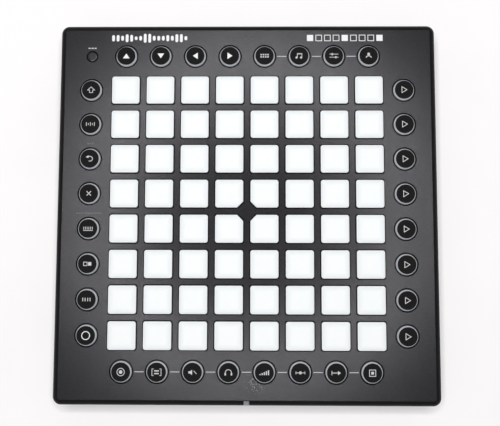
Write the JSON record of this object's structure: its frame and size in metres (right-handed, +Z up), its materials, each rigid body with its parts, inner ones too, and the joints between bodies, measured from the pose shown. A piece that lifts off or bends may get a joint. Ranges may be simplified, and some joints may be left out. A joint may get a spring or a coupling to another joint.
{
  "type": "midi pad grid controller",
  "caption": "Flat square controller for music software: a grid of soft square pads inside a ring of round buttons, in a bevelled two-shell case.",
  "frame": {"origin": "on the table under the middle of the case, at the feet's undersides", "axes": "+X to the player's right, +Y to the rear wall with the sockets, +Z up through the pads"},
  "size_m": [0.264, 0.264, 0.023],
  "materials": {
    "shell": "satin dark grey face, black bevel",
    "lower_shell": "fine-textured black",
    "white_silicone": "translucent white silicone, silky",
    "button_black": "translucent skirt, black cap with a white pictogram",
    "circuit_board": "green solder mask",
    "sensor_film": "amber polyester film",
    "light_guide": "clear acrylic",
    "black_plastic": "moulded black",
    "steel": "bright nickel-plated",
    "rubber": "matt black"
  },
  "bodies": {
    "case": {"top_case": "shell", "bottom_case": "lower_shell", "main_board": "circuit_board", "pressure_sensor_film": "sensor_film", "status_light_guide": "light_guide", "usb_socket": "steel", "dc_power_socket": "black_plastic", "midi_in_socket": "black_plastic", "midi_out_socket": "black_plastic", "power_switch_body": "black_plastic", "rubber_foot_front_left": "rubber", "rubber_foot_front_right": "rubber", "rubber_foot_rear_left": "rubber", "rubber_foot_rear_right": "rubber", "case_screw_front_left": "steel", "case_screw_front_right": "steel", "case_screw_rear_left": "steel", "case_screw_rear_right": "steel"},
    "pad_row_1": {"pad_row_1": "white_silicone"},
    "pad_row_2": {"pad_row_2": "white_silicone"},
    "pad_row_3": {"pad_row_3": "white_silicone"},
    "pad_row_4": {"pad_row_4": "white_silicone"},
    "pad_row_5": {"pad_row_5": "white_silicone"},
    "pad_row_6": {"pad_row_6": "white_silicone"},
    "pad_row_7": {"pad_row_7": "white_silicone"},
    "pad_row_8": {"pad_row_8": "white_silicone"},
    "top_button_1": {"top_button_1": "button_black"},
    "top_button_2": {"top_button_2": "button_black"},
    "top_button_3": {"top_button_3": "button_black"},
    "top_button_4": {"top_button_4": "button_black"},
    "top_button_5": {"top_button_5": "button_black"},
    "top_button_6": {"top_button_6": "button_black"},
    "top_button_7": {"top_button_7": "button_black"},
    "top_button_8": {"top_button_8": "button_black"},
    "left_button_1": {"left_button_1": "button_black"},
    "left_button_2": {"left_button_2": "button_black"},
    "left_button_3": {"left_button_3": "button_black"},
    "left_button_4": {"left_button_4": "button_black"},
    "left_button_5": {"left_button_5": "button_black"},
    "left_button_6": {"left_button_6": "button_black"},
    "left_button_7": {"left_button_7": "button_black"},
    "left_button_8": {"left_button_8": "button_black"},
    "right_button_1": {"right_button_1": "button_black"},
    "right_button_2": {"right_button_2": "button_black"},
    "right_button_3": {"right_button_3": "button_black"},
    "right_button_4": {"right_button_4": "button_black"},
    "right_button_5": {"right_button_5": "button_black"},
    "right_button_6": {"right_button_6": "button_black"},
    "right_button_7": {"right_button_7": "button_black"},
    "right_button_8": {"right_button_8": "button_black"},
    "bottom_button_1": {"bottom_button_1": "button_black"},
    "bottom_button_2": {"bottom_button_2": "button_black"},
    "bottom_button_3": {"bottom_button_3": "button_black"},
    "bottom_button_4": {"bottom_button_4": "button_black"},
    "bottom_button_5": {"bottom_button_5": "button_black"},
    "bottom_button_6": {"bottom_button_6": "button_black"},
    "bottom_button_7": {"bottom_button_7": "button_black"},
    "bottom_button_8": {"bottom_button_8": "button_black"},
    "setup_button": {"setup_button": "shell"},
    "power_switch_lever": {"power_switch_lever": "black_plastic"}
  },
  "joints": [
    {"name": "pad_row_1_press", "type": "slide", "parent": "case", "child": "pad_row_1", "axis": [0, 0, -1], "range_m": [0, 0.0007], "stiffness_N_per_m": 1500, "springref_m": -0.001},
    {"name": "pad_row_2_press", "type": "slide", "parent": "case", "child": "pad_row_2", "axis": [0, 0, -1], "range_m": [0, 0.0007], "stiffness_N_per_m": 1500, "springref_m": -0.001},
    {"name": "pad_row_3_press", "type": "slide", "parent": "case", "child": "pad_row_3", "axis": [0, 0, -1], "range_m": [0, 0.0007], "stiffness_N_per_m": 1500, "springref_m": -0.001},
    {"name": "pad_row_4_press", "type": "slide", "parent": "case", "child": "pad_row_4", "axis": [0, 0, -1], "range_m": [0, 0.0007], "stiffness_N_per_m": 1500, "springref_m": -0.001},
    {"name": "pad_row_5_press", "type": "slide", "parent": "case", "child": "pad_row_5", "axis": [0, 0, -1], "range_m": [0, 0.0007], "stiffness_N_per_m": 1500, "springref_m": -0.001},
    {"name": "pad_row_6_press", "type": "slide", "parent": "case", "child": "pad_row_6", "axis": [0, 0, -1], "range_m": [0, 0.0007], "stiffness_N_per_m": 1500, "springref_m": -0.001},
    {"name": "pad_row_7_press", "type": "slide", "parent": "case", "child": "pad_row_7", "axis": [0, 0, -1], "range_m": [0, 0.0007], "stiffness_N_per_m": 1500, "springref_m": -0.001},
    {"name": "pad_row_8_press", "type": "slide", "parent": "case", "child": "pad_row_8", "axis": [0, 0, -1], "range_m": [0, 0.0007], "stiffness_N_per_m": 1500, "springref_m": -0.001},
    {"name": "top_button_1_press", "type": "slide", "parent": "case", "child": "top_button_1", "axis": [0, 0, -1], "range_m": [0, 0.001], "stiffness_N_per_m": 400, "springref_m": -0.001},
    {"name": "top_button_2_press", "type": "slide", "parent": "case", "child": "top_button_2", "axis": [0, 0, -1], "range_m": [0, 0.001], "stiffness_N_per_m": 400, "springref_m": -0.001},
    {"name": "top_button_3_press", "type": "slide", "parent": "case", "child": "top_button_3", "axis": [0, 0, -1], "range_m": [0, 0.001], "stiffness_N_per_m": 400, "springref_m": -0.001},
    {"name": "top_button_4_press", "type": "slide", "parent": "case", "child": "top_button_4", "axis": [0, 0, -1], "range_m": [0, 0.001], "stiffness_N_per_m": 400, "springref_m": -0.001},
    {"name": "top_button_5_press", "type": "slide", "parent": "case", "child": "top_button_5", "axis": [0, 0, -1], "range_m": [0, 0.001], "stiffness_N_per_m": 400, "springref_m": -0.001},
    {"name": "top_button_6_press", "type": "slide", "parent": "case", "child": "top_button_6", "axis": [0, 0, -1], "range_m": [0, 0.001], "stiffness_N_per_m": 400, "springref_m": -0.001},
    {"name": "top_button_7_press", "type": "slide", "parent": "case", "child": "top_button_7", "axis": [0, 0, -1], "range_m": [0, 0.001], "stiffness_N_per_m": 400, "springref_m": -0.001},
    {"name": "top_button_8_press", "type": "slide", "parent": "case", "child": "top_button_8", "axis": [0, 0, -1], "range_m": [0, 0.001], "stiffness_N_per_m": 400, "springref_m": -0.001},
    {"name": "left_button_1_press", "type": "slide", "parent": "case", "child": "left_button_1", "axis": [0, 0, -1], "range_m": [0, 0.001], "stiffness_N_per_m": 400, "springref_m": -0.001},
    {"name": "left_button_2_press", "type": "slide", "parent": "case", "child": "left_button_2", "axis": [0, 0, -1], "range_m": [0, 0.001], "stiffness_N_per_m": 400, "springref_m": -0.001},
    {"name": "left_button_3_press", "type": "slide", "parent": "case", "child": "left_button_3", "axis": [0, 0, -1], "range_m": [0, 0.001], "stiffness_N_per_m": 400, "springref_m": -0.001},
    {"name": "left_button_4_press", "type": "slide", "parent": "case", "child": "left_button_4", "axis": [0, 0, -1], "range_m": [0, 0.001], "stiffness_N_per_m": 400, "springref_m": -0.001},
    {"name": "left_button_5_press", "type": "slide", "parent": "case", "child": "left_button_5", "axis": [0, 0, -1], "range_m": [0, 0.001], "stiffness_N_per_m": 400, "springref_m": -0.001},
    {"name": "left_button_6_press", "type": "slide", "parent": "case", "child": "left_button_6", "axis": [0, 0, -1], "range_m": [0, 0.001], "stiffness_N_per_m": 400, "springref_m": -0.001},
    {"name": "left_button_7_press", "type": "slide", "parent": "case", "child": "left_button_7", "axis": [0, 0, -1], "range_m": [0, 0.001], "stiffness_N_per_m": 400, "springref_m": -0.001},
    {"name": "left_button_8_press", "type": "slide", "parent": "case", "child": "left_button_8", "axis": [0, 0, -1], "range_m": [0, 0.001], "stiffness_N_per_m": 400, "springref_m": -0.001},
    {"name": "right_button_1_press", "type": "slide", "parent": "case", "child": "right_button_1", "axis": [0, 0, -1], "range_m": [0, 0.001], "stiffness_N_per_m": 400, "springref_m": -0.001},
    {"name": "right_button_2_press", "type": "slide", "parent": "case", "child": "right_button_2", "axis": [0, 0, -1], "range_m": [0, 0.001], "stiffness_N_per_m": 400, "springref_m": -0.001},
    {"name": "right_button_3_press", "type": "slide", "parent": "case", "child": "right_button_3", "axis": [0, 0, -1], "range_m": [0, 0.001], "stiffness_N_per_m": 400, "springref_m": -0.001},
    {"name": "right_button_4_press", "type": "slide", "parent": "case", "child": "right_button_4", "axis": [0, 0, -1], "range_m": [0, 0.001], "stiffness_N_per_m": 400, "springref_m": -0.001},
    {"name": "right_button_5_press", "type": "slide", "parent": "case", "child": "right_button_5", "axis": [0, 0, -1], "range_m": [0, 0.001], "stiffness_N_per_m": 400, "springref_m": -0.001},
    {"name": "right_button_6_press", "type": "slide", "parent": "case", "child": "right_button_6", "axis": [0, 0, -1], "range_m": [0, 0.001], "stiffness_N_per_m": 400, "springref_m": -0.001},
    {"name": "right_button_7_press", "type": "slide", "parent": "case", "child": "right_button_7", "axis": [0, 0, -1], "range_m": [0, 0.001], "stiffness_N_per_m": 400, "springref_m": -0.001},
    {"name": "right_button_8_press", "type": "slide", "parent": "case", "child": "right_button_8", "axis": [0, 0, -1], "range_m": [0, 0.001], "stiffness_N_per_m": 400, "springref_m": -0.001},
    {"name": "bottom_button_1_press", "type": "slide", "parent": "case", "child": "bottom_button_1", "axis": [0, 0, -1], "range_m": [0, 0.001], "stiffness_N_per_m": 400, "springref_m": -0.001},
    {"name": "bottom_button_2_press", "type": "slide", "parent": "case", "child": "bottom_button_2", "axis": [0, 0, -1], "range_m": [0, 0.001], "stiffness_N_per_m": 400, "springref_m": -0.001},
    {"name": "bottom_button_3_press", "type": "slide", "parent": "case", "child": "bottom_button_3", "axis": [0, 0, -1], "range_m": [0, 0.001], "stiffness_N_per_m": 400, "springref_m": -0.001},
    {"name": "bottom_button_4_press", "type": "slide", "parent": "case", "child": "bottom_button_4", "axis": [0, 0, -1], "range_m": [0, 0.001], "stiffness_N_per_m": 400, "springref_m": -0.001},
    {"name": "bottom_button_5_press", "type": "slide", "parent": "case", "child": "bottom_button_5", "axis": [0, 0, -1], "range_m": [0, 0.001], "stiffness_N_per_m": 400, "springref_m": -0.001},
    {"name": "bottom_button_6_press", "type": "slide", "parent": "case", "child": "bottom_button_6", "axis": [0, 0, -1], "range_m": [0, 0.001], "stiffness_N_per_m": 400, "springref_m": -0.001},
    {"name": "bottom_button_7_press", "type": "slide", "parent": "case", "child": "bottom_button_7", "axis": [0, 0, -1], "range_m": [0, 0.001], "stiffness_N_per_m": 400, "springref_m": -0.001},
    {"name": "bottom_button_8_press", "type": "slide", "parent": "case", "child": "bottom_button_8", "axis": [0, 0, -1], "range_m": [0, 0.001], "stiffness_N_per_m": 400, "springref_m": -0.001},
    {"name": "setup_button_press", "type": "slide", "parent": "case", "child": "setup_button", "axis": [0, 0, -1], "range_m": [0, 0.0004], "stiffness_N_per_m": 1500, "springref_m": -0.001},
    {"name": "power_switch_slide", "type": "slide", "parent": "case", "child": "power_switch_lever", "axis": [1, 0, 0], "range_m": [0, 0.0025]}
  ]
}
